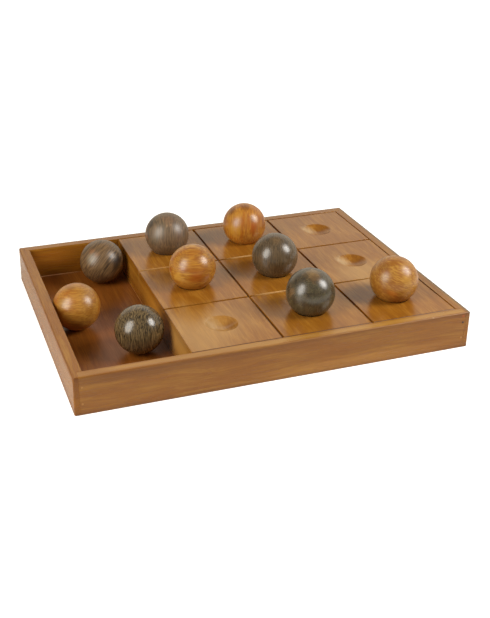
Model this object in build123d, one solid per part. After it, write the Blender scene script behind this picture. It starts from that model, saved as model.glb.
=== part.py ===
from build123d import *
import os

# A wooden tic-tac-toe game: a shallow tray with a storage well at the left and, at the right, a raised
# square board cut by grooves into nine squares, each with a dimple that holds a loose wooden ball.
# Millimetres. X runs along the front rail, Y towards the back and Z up. The origin is under the middle
# of the tray, on the surface that it stands on.

# Playing board
groove_spacing = 72.0  # between the middles of two grooves that run side by side
outer_square = 69.6  # from the middle of a groove to the edge of the board
groove_width = 1.8
groove_depth = 2.0
groove_mouth = 0.3  # flare of each groove at the top
board_edge_radius = 0.6
board_gap = 0.4  # between the board and each rail beside it
board_drop = 0.3  # how far the board's top lies below the top of the rails

# Balls and their dimples
ball_diameter = 37.5
dimple_clearance = 0.3  # dimple radius less ball radius
dimple_depth = 4.5
dimple_rim_radius = 0.5
rest_gap = 0.2  # under each ball

# Tray
well_length = 78.4  # from the left rail to the board
rail_height = 30.0
rail_thickness = 8.0
side_tongue = 4.0  # end of a side rail that shows beside the front and back rails
floor_thickness = 3.2
floor_rabbet = 4.0  # how far the floor reaches under each rail
floor_play = 0.2  # between the floor's edge and the end of its rabbet
corner_radius = 1.2
edge_radius = 1.0

# Brads through the front and back rails into the side rails
brad_length = 20.0
brad_shank_radius = 0.6
brad_head_radius = 0.9
brad_head_thickness = 0.6
brad_low_height = 9.0
brad_top_cover = 8.0  # from the top of the rail to the upper brad

# Pins through the floor into the rails
pin_length = 12.0
pin_shank_radius = 0.6
pin_head_radius = 1.1
pin_head_thickness = 0.5
pin_corner_distance = 24.0  # from the outside of a corner to the first pin
long_rail_pins = 5
side_rail_pins = 4

nail_tip_length = 1.5

# Squares of the board: columns from the left and rows from the front
columns = ("left", "centre", "right")
rows = ("front", "middle", "back")

# Balls at rest on the board, with the column and the row of each
board_balls = {
    "dark_ball_back_left": ("left", "back"),
    "light_ball_back_middle": ("centre", "back"),
    "light_ball_centre_left": ("left", "middle"),
    "dark_ball_centre": ("centre", "middle"),
    "dark_ball_front_middle": ("centre", "front"),
    "light_ball_front_right": ("right", "front"),
}

# Balls at rest in the well: the side wall and the end rail that each is measured from, and its gap to them
well_balls = {
    "dark_ball_well_back": ("board", 2.2, "back_rail", 6.3),
    "light_ball_well_middle": ("left_rail", 0.4, "front_rail", 91.3),
    "dark_ball_well_front": ("board", 3.7, "front_rail", 40.0),
}

# Worked out
ball_radius = ball_diameter / 2
dimple_radius = ball_radius + dimple_clearance
board_side = groove_spacing + 2 * outer_square
well_width = board_side + 2 * board_gap
inside_length = well_length + board_side + board_gap
tray_length = inside_length + 2 * rail_thickness
tray_width = well_width + 2 * rail_thickness
board_top = rail_height - board_drop
board_thickness = board_top - floor_thickness
board_right = inside_length / 2 - board_gap
board_left = board_right - board_side
board_centre_x = board_right - board_side / 2
upper_brad_height = rail_height - brad_top_cover


def block(length, width, height, x=0, y=0, z=0):
    """A box with its middle over (x, y) and its underside at height z."""
    return Pos(x, y, z) * Box(length, width, height, align=(Align.CENTER, Align.CENTER, Align.MIN))


def nail(length, shank_radius, head_radius, head_thickness):
    """A nail along +Z, with the outside of its head at the origin."""
    low = (Align.CENTER, Align.CENTER, Align.MIN)
    straight = length - nail_tip_length
    head = Cylinder(head_radius, head_thickness, align=low)
    shank = Cylinder(shank_radius, straight, align=low)
    tip = Pos(0, 0, straight) * Cone(shank_radius, shank_radius / 4, nail_tip_length, align=low)
    return head + shank + tip


def evenly(first, last, count):
    """Places spread evenly from first to last."""
    return [first + (last - first) * i / (count - 1) for i in range(count)]


def make_corner_brads():
    """Two brads at each corner, driven through a long rail into the end of a side rail."""
    brads = []
    shoulder = rail_thickness - side_tongue
    x = tray_length / 2 - side_tongue - shoulder / 2
    for side in (-1, 1):
        for outside, turn in ((-1, -90), (1, 90)):
            for z in (brad_low_height, upper_brad_height):
                place = Pos(side * x, outside * tray_width / 2, z) * Rot(turn, 0, 0)
                brads.append(place * nail(brad_length, brad_shank_radius, brad_head_radius, brad_head_thickness))
    return brads


def make_floor_pins():
    """Pins driven up through the floor into the rails all round."""
    x_row = evenly(pin_corner_distance - tray_length / 2, tray_length / 2 - pin_corner_distance, long_rail_pins)
    y_row = evenly(pin_corner_distance - tray_width / 2, tray_width / 2 - pin_corner_distance, side_rail_pins)
    x_side = inside_length / 2 + floor_rabbet / 2
    y_side = well_width / 2 + floor_rabbet / 2
    places = [(x, side * y_side) for x in x_row for side in (-1, 1)]
    places += [(side * x_side, y) for y in y_row for side in (-1, 1)]
    pin = nail(pin_length, pin_shank_radius, pin_head_radius, pin_head_thickness)
    return [Pos(x, y, 0) * pin for x, y in places]


def make_carcass():
    """The four rails in one block: outer corners and edges rounded, inside and floor recess cut out."""
    outside = block(tray_length, tray_width, rail_height)
    outside = fillet(outside.edges().filter_by(Axis.Z), corner_radius)
    rims = outside.faces().sort_by(Axis.Z)[0].edges() + outside.faces().sort_by(Axis.Z)[-1].edges()
    outside = fillet(rims, edge_radius)
    inside = block(inside_length, well_width, rail_height)
    recess = block(inside_length + 2 * floor_rabbet, well_width + 2 * floor_rabbet, floor_thickness)
    return outside - inside - recess


def make_rails(brads, pins):
    """The rails cut from the carcass: each long rail sits in rabbets at the ends of the side rails."""
    carcass = make_carcass()
    for fastener in brads + pins:
        carcass -= fastener
    long_length = tray_length - 2 * side_tongue
    long_y = tray_width / 2 - rail_thickness / 2
    front_space = block(long_length, rail_thickness, rail_height, y=-long_y)
    back_space = block(long_length, rail_thickness, rail_height, y=long_y)
    sides = carcass - front_space - back_space
    half = block(tray_length / 2, tray_width, rail_height, x=tray_length / 4)
    mirrored_half = block(tray_length / 2, tray_width, rail_height, x=-tray_length / 4)
    return {
        "front_rail": carcass & front_space,
        "back_rail": carcass & back_space,
        "left_rail": sides & mirrored_half,
        "right_rail": sides & half,
    }


def make_floor(pins):
    """The thin floor panel, flush with the undersides of the rails."""
    length = inside_length + 2 * (floor_rabbet - floor_play)
    width = well_width + 2 * (floor_rabbet - floor_play)
    floor = block(length, width, floor_thickness)
    for pin in pins:
        floor -= pin
    return floor


def square_centre(column, row):
    """The middle of a square of the board."""
    step = groove_spacing / 2 + outer_square / 2
    return board_centre_x + (columns.index(column) - 1) * step, (rows.index(row) - 1) * step


def make_groove():
    """A groove's cutter along X, below the board's top at height 0, with a flared mouth."""
    half = groove_width / 2
    outline = Polyline(
        (-half - 2 * groove_mouth, groove_mouth),
        (-half, -groove_mouth),
        (-half, -groove_depth),
        (half, -groove_depth),
        (half, -groove_mouth),
        (half + 2 * groove_mouth, groove_mouth),
        close=True,
    )
    return extrude(Plane.YZ * make_face(outline), amount=board_side, both=True)


def make_board():
    """The playing board: a thick square block with crossing grooves and a dimple in every square."""
    board = block(board_side, board_side, board_thickness, x=board_centre_x, z=floor_thickness)
    board = fillet(board.faces().sort_by(Axis.Z)[-1].edges(), board_edge_radius)
    for column in columns:
        for row in rows:
            x, y = square_centre(column, row)
            board -= Pos(x, y, board_top + dimple_radius - dimple_depth) * Sphere(dimple_radius)
    rims = board.faces().sort_by(Axis.Z)[-1].edges().filter_by(GeomType.CIRCLE)
    board = fillet(rims, dimple_rim_radius)
    groove = make_groove()
    for side in (-1, 1):
        offset = side * groove_spacing / 2
        board -= Pos(board_centre_x, offset, board_top) * groove
        board -= Pos(board_centre_x + offset, 0, board_top) * Rot(0, 0, 90) * groove
    return board


def ball_centres():
    """Where the middle of each ball is at rest."""
    centres = {}
    on_board = board_top - dimple_depth + rest_gap + ball_radius
    for name, (column, row) in board_balls.items():
        centres[name] = (*square_centre(column, row), on_board)
    in_well = floor_thickness + rest_gap + ball_radius
    for name, (side_wall, side_gap, end_rail, end_gap) in well_balls.items():
        side_reach = side_gap + ball_radius
        end_reach = end_gap + ball_radius
        x = board_left - side_reach if side_wall == "board" else side_reach - inside_length / 2
        y = well_width / 2 - end_reach if end_rail == "back_rail" else end_reach - well_width / 2
        centres[name] = (x, y, in_well)
    return centres


def save(name, shape):
    """One file for each sub-part, named after it."""
    export_step(shape, os.path.join("parts", name + ".step"))


def main():
    os.makedirs("parts", exist_ok=True)
    brads = make_corner_brads()
    pins = make_floor_pins()
    pieces = make_rails(brads, pins)
    pieces["floor_panel"] = make_floor(pins)
    pieces["playing_board"] = make_board()
    pieces["corner_brads"] = Compound(children=brads)
    pieces["floor_pins"] = Compound(children=pins)
    for name, (x, y, z) in ball_centres().items():
        pieces[name] = Pos(x, y, z) * Sphere(ball_radius)
    for name, piece in pieces.items():
        save(name, piece)
    print(f"tray {tray_length:.1f} x {tray_width:.1f} x {rail_height:.1f} mm, board {board_side:.1f} mm square")
    for name, (x, y, z) in ball_centres().items():
        print(f"{name}: centre {x:.2f}, {y:.2f}, {z:.2f}")


main()
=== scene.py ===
# %% [markdown]
# A wooden tic-tac-toe game. A shallow tray of four nailed rails holds a thick square board at the right and
# a storage well at the left. Nine turned wooden balls, five stained dark and four honey-coloured, lie in
# the dimples of the board and in the well. The engineering model gives every size and place, and this
# script gives the looks: rounded and sanded wood, stain, lacquer, a plain studio and the camera.

# %% Loading the engineering model
import math

import bmesh
import bpy
import numpy as np
from mathutils import Matrix, Quaternion, Vector


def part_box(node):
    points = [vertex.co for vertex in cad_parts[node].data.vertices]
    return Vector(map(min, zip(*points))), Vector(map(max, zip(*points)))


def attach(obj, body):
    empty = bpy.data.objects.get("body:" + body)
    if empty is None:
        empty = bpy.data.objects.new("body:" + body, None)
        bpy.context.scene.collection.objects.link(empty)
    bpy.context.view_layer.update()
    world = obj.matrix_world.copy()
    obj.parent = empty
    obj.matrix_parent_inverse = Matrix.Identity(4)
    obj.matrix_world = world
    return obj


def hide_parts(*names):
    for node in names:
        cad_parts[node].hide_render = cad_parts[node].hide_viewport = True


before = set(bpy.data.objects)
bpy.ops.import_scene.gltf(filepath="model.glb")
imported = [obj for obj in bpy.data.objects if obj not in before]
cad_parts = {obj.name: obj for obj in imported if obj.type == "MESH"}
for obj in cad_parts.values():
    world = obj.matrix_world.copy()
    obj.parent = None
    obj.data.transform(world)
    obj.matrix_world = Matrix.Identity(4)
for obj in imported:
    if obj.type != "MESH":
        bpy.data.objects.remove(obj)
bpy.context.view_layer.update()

# %% [markdown]
# The Standard view transform shows a colour about as it is written, which is what is wanted when colours
# are matched to a photograph.

# %% View transform
MM = 0.001
scene = bpy.context.scene
scene.view_settings.view_transform = "Standard"

# %% [markdown]
# The photograph looks down on the tray from its front left. A camera is a place, a direction and a lens.
# The direction is easiest to think of as an azimuth round the object and an elevation above the table. The
# lens shift stands for the crop of the original picture, whose middle wasn't the middle of the lens.

# %% Camera
PICTURE_WIDTH, PICTURE_HEIGHT = 490, 618
SENSOR = 36.0
FOCAL_PIXELS = 992.3
LENS_AXIS_PIXEL = (208.0, 245.0)
CAMERA_PLACE = (-0.2524, -0.6826, 0.3777)
CAMERA_AZIMUTH, CAMERA_ELEVATION, CAMERA_ROLL = -18.89, 23.66, 0.21


def put(name, data):
    """A new object in the scene, made of the data."""
    made = bpy.data.objects.new(name, data)
    scene.collection.objects.link(made)
    return made


def direction(azimuth, elevation):
    """Unit vector from the object to a viewer: azimuth 0 is in front, along -Y, and 90 is along +X."""
    a, e = math.radians(azimuth), math.radians(elevation)
    return Vector((math.sin(a) * math.cos(e), -math.cos(a) * math.cos(e), math.sin(e)))


def make_camera():
    """The photograph's viewpoint: lens in mm = focal length in pixels times sensor over picture height."""
    data = bpy.data.cameras.new("camera")
    data.sensor_width = SENSOR
    data.lens = FOCAL_PIXELS * SENSOR / PICTURE_HEIGHT
    data.shift_x = (PICTURE_WIDTH / 2 - LENS_AXIS_PIXEL[0]) / PICTURE_HEIGHT
    data.shift_y = (LENS_AXIS_PIXEL[1] - PICTURE_HEIGHT / 2) / PICTURE_HEIGHT
    camera = put("camera", data)
    look = (-direction(CAMERA_AZIMUTH, CAMERA_ELEVATION)).to_track_quat("-Z", "Y")
    camera.location = CAMERA_PLACE
    camera.rotation_mode = "QUATERNION"
    camera.rotation_quaternion = look @ Quaternion((0, 0, 1), math.radians(CAMERA_ROLL))
    return camera


scene.camera = make_camera()
print("camera lens", round(scene.camera.data.lens, 2), "mm")

# %% [markdown]
# Small helpers keep the node trees readable. The first two fill sockets with numbers or with links, and add
# a node with its options. The next ones do one sum, blend two colours and take a number from one range into
# another. The last two start a material, and a node group with named inputs and outputs.

# %% Node helpers
def fill(tree, sockets, values):
    """Each socket named in values takes its value, or a link where the value is itself a socket."""
    for key, value in values.items():
        if isinstance(value, bpy.types.NodeSocket):
            tree.links.new(value, sockets[key])
        else:
            sockets[key].default_value = value


def add(tree, kind, inputs=None, **options):
    """A shader node with its options set and its inputs filled."""
    node = tree.nodes.new("ShaderNode" + kind)
    for name, value in options.items():
        setattr(node, name, value)
    fill(tree, node.inputs, inputs or {})
    return node


def calc(tree, operation, *values, clamp=False):
    """One sum on numbers, such as ADD or POWER."""
    return add(tree, "Math", dict(enumerate(values)), operation=operation, use_clamp=clamp).outputs[0]


def calc_vector(tree, operation, *values):
    """One sum on vectors, such as DIVIDE."""
    node = add(tree, "VectorMath", dict(enumerate(values)), operation=operation)
    return node.outputs["Value" if operation in ("LENGTH", "DOT_PRODUCT") else "Vector"]


def blend(tree, factor, first, second, mode="MIX"):
    """A colour between first and second, at factor from 0 to 1."""
    node = add(tree, "Mix", {0: factor, 6: first, 7: second}, data_type="RGBA", blend_type=mode)
    return node.outputs[2]


def remap(tree, value, low, high, to_low=0.0, to_high=1.0, smooth=True):
    """A number taken from the range low to high into the range to_low to to_high, and held there."""
    inputs = {"Value": value, "From Min": low, "From Max": high, "To Min": to_low, "To Max": to_high}
    kind = "SMOOTHSTEP" if smooth else "LINEAR"
    return add(tree, "MapRange", inputs, interpolation_type=kind).outputs[0]


def start_finish(name):
    """A new material, its node tree and the inputs of its shader."""
    material = bpy.data.materials.new(name)
    material.use_nodes = True
    return material, material.node_tree, material.node_tree.nodes["Principled BSDF"].inputs


def start_group(name, inputs, outputs):
    """A new node group; inputs gives each socket its kind and value, outputs each socket its kind."""
    group = bpy.data.node_groups.new(name, "ShaderNodeTree")
    for socket, (kind, value) in inputs.items():
        made = group.interface.new_socket(socket, in_out="INPUT", socket_type="NodeSocket" + kind)
        if value is not None:
            made.default_value = value
    for socket, kind in outputs.items():
        group.interface.new_socket(socket, in_out="OUTPUT", socket_type="NodeSocket" + kind)
    return group, group.nodes.new("NodeGroupInput").outputs, group.nodes.new("NodeGroupOutput").inputs


# %% [markdown]
# The lacquer mirrors the white studio: that is what washes out the board, except where a ball hides the
# backdrop. So the world is white to the camera. To glossy rays it is a backdrop behind the tray, warm below
# and cooler above, in a dim room. To all other rays it is a dim white, which keeps the wood from being lit
# too much. Two soft boxes, one from the left and one from the right, make the two highlights on each ball.

# %% Studio
AMBIENT = 0.23
MIRRORED_DIM, MIRRORED_WHITE = 0.12, 1.0
BACKDROP_AZIMUTH = 150
BACKDROP_TOP = (0.58, 0.84)
BACKDROP_SIDE = (0.3, 0.75)
LOWER_TINT, UPPER_TINT = (1.0, 0.9, 0.74, 1), (0.96, 1.0, 1.04, 1)
TINT_CHANGE = (0.5, 0.62)
WHITE = (1, 1, 1, 1)
AIM = Vector((0.0, 0.0, 0.03))
BOX_DISTANCE = 1.0
SOFT_BOXES = {
    "left_box": {
        "azimuth": -71.5, "elevation": 27.0, "size": (0.56, 0.88), "radiance": 7.4, "tint": (1.0, 0.97, 0.9),
    },
    "right_box": {
        "azimuth": 62.0, "elevation": 37.0, "size": (0.48, 0.55), "radiance": 12.2, "tint": (1.0, 0.98, 0.94),
    },
}


def make_world():
    """White to the camera; a tinted backdrop in a dim room to glossy rays; AMBIENT of white to the rest."""
    world = bpy.data.worlds.new("white studio")
    scene.world = world
    world.use_nodes = True
    tree = world.node_tree
    path = add(tree, "LightPath").outputs
    place = add(tree, "TexCoord").outputs["Generated"]
    height = add(tree, "SeparateXYZ", {0: place}).outputs["Z"]
    tint = blend(tree, remap(tree, height, *TINT_CHANGE), LOWER_TINT, UPPER_TINT)
    tint = blend(tree, path["Is Glossy Ray"], WHITE, tint)
    facing = calc_vector(tree, "DOT_PRODUCT", place, direction(BACKDROP_AZIMUTH, 0))
    behind = remap(tree, facing, *BACKDROP_SIDE)
    below_top = remap(tree, height, *BACKDROP_TOP, 1.0, 0.0)
    backdrop = calc(tree, "MULTIPLY", behind, below_top)
    mirrored = remap(tree, backdrop, 0, 1, MIRRORED_DIM - AMBIENT, MIRRORED_WHITE - AMBIENT, smooth=False)
    glossy = calc(tree, "MULTIPLY", path["Is Glossy Ray"], mirrored)
    clear = calc(tree, "MAXIMUM", path["Is Camera Ray"], path["Is Transmission Ray"])
    clear = calc(tree, "MULTIPLY", clear, 1 - AMBIENT)
    strength = calc(tree, "ADD", calc(tree, "ADD", glossy, clear), AMBIENT)
    fill(tree, tree.nodes["Background"].inputs, {"Color": tint, "Strength": strength})


def make_soft_box(name, azimuth, elevation, size, radiance, tint):
    """An oval lamp that faces the board. Its power is its radiance times its area times pi."""
    lamp = bpy.data.lights.new(name, "AREA")
    lamp.shape = "ELLIPSE"
    lamp.size, lamp.size_y = size
    lamp.color = tint
    area = size[0] * size[1] * math.pi / 4
    lamp.energy = radiance * area * math.pi
    holder = put(name, lamp)
    away = direction(azimuth, elevation)
    holder.location = AIM + away * BOX_DISTANCE
    holder.rotation_mode = "QUATERNION"
    holder.rotation_quaternion = (-away).to_track_quat("-Z", "Y")
    print(name, "power", round(lamp.energy, 2), "W")


make_world()
for box_name, box in SOFT_BOXES.items():
    make_soft_box(box_name, **box)

# %% [markdown]
# The floor is a plain white sheet. It takes the shadow of the tray as any floor does, and a little light of
# its own, seen only by the camera and by glossy rays, brings it up to the white of the backdrop.

# %% Floor
FLOOR_HALF = 6.0
FLOOR_WHITE, FLOOR_ROUGHNESS = (0.86, 0.84, 0.79, 1), 0.9
LIFT_NEAR, LIFT_FAR = 0.6, 1.0
LIFT_FROM, LIFT_TO = 0.17, 0.5


def make_floor():
    """A square sheet at height 0, well beyond the view."""
    mesh = bpy.data.meshes.new("studio_floor")
    corners = [(x * FLOOR_HALF, y * FLOOR_HALF, 0) for x, y in ((-1, -1), (1, -1), (1, 1), (-1, 1))]
    mesh.from_pydata(corners, [], [(0, 1, 2, 3)])
    floor = put("studio_floor", mesh)
    paint, tree, shader = start_finish("floor white")
    path = add(tree, "LightPath").outputs
    clear = calc(tree, "MAXIMUM", path["Is Camera Ray"], path["Is Transmission Ray"])
    away = calc_vector(tree, "LENGTH", add(tree, "TexCoord").outputs["Object"])
    lift = remap(tree, away, LIFT_FROM, LIFT_TO, LIFT_NEAR, LIFT_FAR)
    glow = calc(tree, "MULTIPLY", clear, lift)
    fill(tree, shader, {"Base Color": FLOOR_WHITE, "Roughness": FLOOR_ROUGHNESS, "Specular IOR Level": 0.0})
    fill(tree, shader, {"Emission Color": WHITE, "Emission Strength": glow})
    mesh.materials.append(paint)


make_floor()

# %% [markdown]
# Wood is a solid pattern, not a skin. A tree lays a ring each year round its heart, and the ring ends in a
# darker line. Fibres and pores run along the trunk. If the pattern is worked out in space, every cut shows
# the right thing: long streaks on a side, arcs where a cut leaves a ring, dots on the end of the grain. The
# group below has the trunk along Z. Its rings are the distance from the heart, folded back to nought at
# each ring, and its fibres and pores are noise that is stretched along Z.

# %% Inputs of the group for solid wood
WOOD_NUMBERS = {
    "Seed": 0.0, "Heart": 0.08, "Ring Spacing": 0.004, "Ripple": 0.9, "Wander": 0.003, "Fibre Width": 0.0006,
    "Fibre Length": 0.02, "Layer": 1.0, "Streak Width": 0.003, "Blush Size": 0.02,
}
FIGURES = ("Blush", "Streak", "Ring", "Fibre", "Pore")
FIGURE_STRENGTH, WOOD_BROWN = 0.5, (0.3, 0.12, 0.03, 1)
WOOD_INPUTS = {"Vector": ("Vector", None), "Ground Colour": ("Color", WOOD_BROWN)}
WOOD_INPUTS.update({name: ("Float", value) for name, value in WOOD_NUMBERS.items()})
for figure in FIGURES:
    WOOD_INPUTS[figure + " Strength"] = ("Float", FIGURE_STRENGTH)
    WOOD_INPUTS[figure + " Colour"] = ("Color", WOOD_BROWN)
WOOD_OUTPUTS = {"Color": "Color", "Height": "Float", "Dullness": "Float"}

# %% [markdown]
# Each figure of the wood has a size across and a size along the trunk, in metres, and a range of its noise
# that is drawn out to full contrast. A ring rises slowly to its dark line and falls off at once, as a
# year's growth does.

# %% Sizes and ranges of the figure
BEND_SIZE, RIPPLE_SIZE, PORE_SIZE = (0.02, 0.07), (0.004, 0.03), (0.0007, 0.007)
FIBRE_RANGE, STREAK_RANGE, PORE_RANGE, BLUSH_RANGE = (0.4, 0.62), (0.38, 0.62), (0.12, 0.3), (0.4, 0.62)
STREAK_STRETCH, BLUSH_STRETCH = 2.2, 2.5
STREAK_SEED = 5.0
YEAR_RANGE = (0.35, 1.0)
RING_RISE = ((0.0, 0.35), (0.12, 0.0), (0.55, 0.22), (0.86, 1.0), (1.0, 0.35))
PORES_ANYWHERE, PORES_IN_RINGS = 0.4, 0.6
FIBRE_HEIGHT = 0.35
FIBRE_DULLNESS, STREAK_DULLNESS = 0.6, 0.4
STREAK_ROUGHNESS = 0.6
NOISE_MIDDLE = 0.5

# %% [markdown]
# The group bends the trunk a little and works out five figures: a slow blush of tone, broad streaks, rings,
# fibres and pores. It lays their colours over the ground in that order. The pores are pits and the fibres
# stand up, and fibres and streaks dull the finish.

# %% The group for solid wood
def stretched(tree, vector, across, along, deep=None):
    """The place in the wood counted in widths across the trunk, depths behind it and lengths along it."""
    size = add(tree, "CombineXYZ", {0: across, 1: across if deep is None else deep, 2: along}).outputs[0]
    return calc_vector(tree, "DIVIDE", vector, size)


def noise(tree, vector, seed, detail=2.0, roughness=0.5, colour=False):
    """Cloudy noise from 0 to 1; seed picks another piece of the same wood."""
    inputs = {"Vector": vector, "W": seed, "Scale": 1.0, "Detail": detail, "Roughness": roughness}
    node = add(tree, "TexNoise", inputs, noise_dimensions="4D")
    return node.outputs["Color" if colour else "Fac"]


def streaks(tree, place, seed, width, layer, length, low, high):
    """Noise stretched along the trunk, layer times as deep as wide, drawn out from low to high."""
    counted = stretched(tree, place, width, length, deep=calc(tree, "MULTIPLY", width, layer))
    return remap(tree, noise(tree, counted, seed, roughness=STREAK_ROUGHNESS), low, high)


def make_rings(tree, given, bent):
    """The distance from the heart over the ring spacing, with a little ripple, folded at each ring."""
    parts = add(tree, "SeparateXYZ", {0: bent}).outputs
    aside = calc(tree, "SUBTRACT", parts[0], given["Heart"])
    flat = add(tree, "CombineXYZ", {0: aside, 1: parts[1], 2: 0.0}).outputs[0]
    away = calc(tree, "DIVIDE", calc_vector(tree, "LENGTH", flat), given["Ring Spacing"])
    ripple = noise(tree, stretched(tree, given["Vector"], *RIPPLE_SIZE), given["Seed"], detail=3.0)
    phase = calc(tree, "ADD", away, calc(tree, "MULTIPLY", ripple, given["Ripple"]))
    folded = add(tree, "ValToRGB", {0: calc(tree, "FRACT", phase)})
    for place, _ in RING_RISE[1:-1]:
        folded.color_ramp.elements.new(place)
    for element, (place, value) in zip(folded.color_ramp.elements, RING_RISE):
        element.position = place
        element.color = (value, value, value, 1)
    year = add(tree, "TexWhiteNoise", {"W": calc(tree, "FLOOR", phase)}, noise_dimensions="1D").outputs[0]
    return calc(tree, "MULTIPLY", folded.outputs[0], remap(tree, year, 0, 1, *YEAR_RANGE, smooth=False))


def make_wood_group():
    """Solid wood with its trunk along Z and its heart at x = Heart."""
    tree, given, result = start_group("solid wood", WOOD_INPUTS, WOOD_OUTPUTS)
    seed, layer = given["Seed"], given["Layer"]
    # The trunk is never quite straight: its place wanders by a slow noise.
    slow = noise(tree, stretched(tree, given["Vector"], *BEND_SIZE), seed, colour=True)
    centred = calc_vector(tree, "SUBTRACT", slow, (NOISE_MIDDLE,) * 3)
    reach = add(tree, "CombineXYZ", {0: given["Wander"], 1: given["Wander"], 2: 0.0}).outputs[0]
    bent = calc_vector(tree, "ADD", given["Vector"], calc_vector(tree, "MULTIPLY", centred, reach))
    ring = make_rings(tree, given, bent)
    # Fibres and streaks: fine and broad noise stretched along the trunk.
    fibre = streaks(tree, bent, seed, given["Fibre Width"], layer, given["Fibre Length"], *FIBRE_RANGE)
    broad_length = calc(tree, "MULTIPLY", given["Fibre Length"], STREAK_STRETCH)
    other_seed = calc(tree, "ADD", seed, STREAK_SEED)
    streak = streaks(tree, bent, other_seed, given["Streak Width"], layer, broad_length, *STREAK_RANGE)
    # Pores: cells stretched along the trunk, kept small, and more of them in the late wood.
    cells = add(tree, "TexVoronoi", {"Vector": stretched(tree, bent, *PORE_SIZE), "Scale": 1.0}).outputs[0]
    pore = remap(tree, cells, *PORE_RANGE, 1.0, 0.0)
    late = calc(tree, "ADD", calc(tree, "MULTIPLY", ring, PORES_IN_RINGS), PORES_ANYWHERE)
    pore = calc(tree, "MULTIPLY", pore, late)
    # Blush: a slow change of tone.
    blush_length = calc(tree, "MULTIPLY", given["Blush Size"], BLUSH_STRETCH)
    cloud = noise(tree, stretched(tree, bent, given["Blush Size"], blush_length), seed, detail=1.0)
    cloud = remap(tree, cloud, *BLUSH_RANGE)
    mixed = given["Ground Colour"]
    for name, mask in zip(FIGURES, (cloud, streak, ring, fibre, pore)):
        shown = calc(tree, "MULTIPLY", mask, given[name + " Strength"])
        mixed = blend(tree, shown, mixed, given[name + " Colour"])
    # The last mask shown is the pores': they are pits, and the fibres stand up.
    height = calc(tree, "SUBTRACT", calc(tree, "MULTIPLY", fibre, FIBRE_HEIGHT), shown)
    fibre_dull = calc(tree, "MULTIPLY", fibre, FIBRE_DULLNESS)
    streak_dull = calc(tree, "MULTIPLY", streak, STREAK_DULLNESS)
    dullness = calc(tree, "ADD", fibre_dull, streak_dull)
    fill(tree, result, {"Color": mixed, "Height": height, "Dullness": dullness})
    return tree


wood_group = make_wood_group()
print("solid wood group:", len(wood_group.nodes), "nodes")

# %% [markdown]
# Some marks are one of a kind: a reddish cloud, a pale fleck, a dark knot of fibres. Others are painted
# light:
# highlights, sheen and shade. Each is a soft blot round one place on the piece, with a ragged edge, longer
# along the grain than across it.

# %% The group for a blot
BLOT_INPUTS = {
    "Vector": ("Vector", None),
    "Place": ("Vector", (0, 0, 0)),
    "Size": ("Float", 0.006),
    "Length": ("Float", 0.009),
    "Ragged": ("Float", 0.5),
}
TEARS, TEAR_REACH, BLOT_FALL = (3, 3, 1), 3.0, (0.25, 1.0)


def make_blot_group():
    """A mask that falls from 1 at the place to 0 at a distance of one size across and one length along."""
    tree, given, result = start_group("blot", BLOT_INPUTS, {"Mask": "Float"})
    offset = calc_vector(tree, "SUBTRACT", given["Vector"], given["Place"])
    counted = stretched(tree, offset, given["Size"], given["Length"])
    torn = noise(tree, calc_vector(tree, "MULTIPLY", counted, TEARS), 0.0, detail=3.0)
    torn = calc(tree, "MULTIPLY", calc(tree, "SUBTRACT", torn, NOISE_MIDDLE), given["Ragged"])
    away = calc(tree, "ADD", calc_vector(tree, "LENGTH", counted), calc(tree, "MULTIPLY", torn, TEAR_REACH))
    fill(tree, result, {"Mask": remap(tree, away, *BLOT_FALL, 1.0, 0.0)})
    return tree


blot_group = make_blot_group()

# %% [markdown]
# The arrises of a box are darker than its faces, and hands polish its lacquer away there. The edge mask finds
# them from the place alone: near one face the mask's part for that axis is 1, and an edge is where two such
# parts meet.

# %% The group for edges
EDGE_INPUTS = {
    "Vector": ("Vector", None),
    "Middle": ("Vector", (0, 0, 0)),
    "Half Size": ("Vector", (0.1, 0.1, 0.01)),
    "Reach": ("Vector", (0.001, 0.001, 0.004)),
}


def make_edge_group():
    """How far into the outer reach of each axis the place lies, 0 to 1; the mask is the greatest product."""
    tree, given, result = start_group("edges of a box", EDGE_INPUTS, {"Mask": "Float"})
    away = calc_vector(tree, "ABSOLUTE", calc_vector(tree, "SUBTRACT", given["Vector"], given["Middle"]))
    inner = calc_vector(tree, "SUBTRACT", given["Half Size"], given["Reach"])
    counted = calc_vector(tree, "DIVIDE", calc_vector(tree, "SUBTRACT", away, inner), given["Reach"])
    held = calc_vector(tree, "MINIMUM", calc_vector(tree, "MAXIMUM", counted, (0, 0, 0)), (1, 1, 1))
    x, y, z = add(tree, "SeparateXYZ", {0: held}).outputs
    pairs = [calc(tree, "MULTIPLY", a, b) for a, b in ((x, y), (y, z), (z, x))]
    mask = calc(tree, "MAXIMUM", pairs[0], calc(tree, "MAXIMUM", pairs[1], pairs[2]))
    fill(tree, result, {"Mask": mask})
    return tree


edge_group = make_edge_group()

# %% [markdown]
# The finish is a few coats of brushed or sprayed lacquer. It is smooth but never optically flat: it ripples
# a little, like the peel of an orange, and it dulls where hands and dust have been. The group turns that
# into a roughness and a small height.

# %% The group for lacquer
LACQUER_INPUTS = {
    "Vector": ("Vector", None),
    "Seed": ("Float", 0.0),
    "Dullness": ("Float", 0.0),
    "Roughness": ("Float", 0.2),
    "Variation": ("Float", 0.1),
}
LACQUER_OUTPUTS = {"Roughness": "Float", "Height": "Float"}
PEEL_SIZE, CLOUD_SIZE = (0.0035, 0.0035), (0.02, 0.02)
WOOD_SHARE, CLOUD_SHARE, EVEN_SHARE = 0.5, 0.5, 0.4


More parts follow.
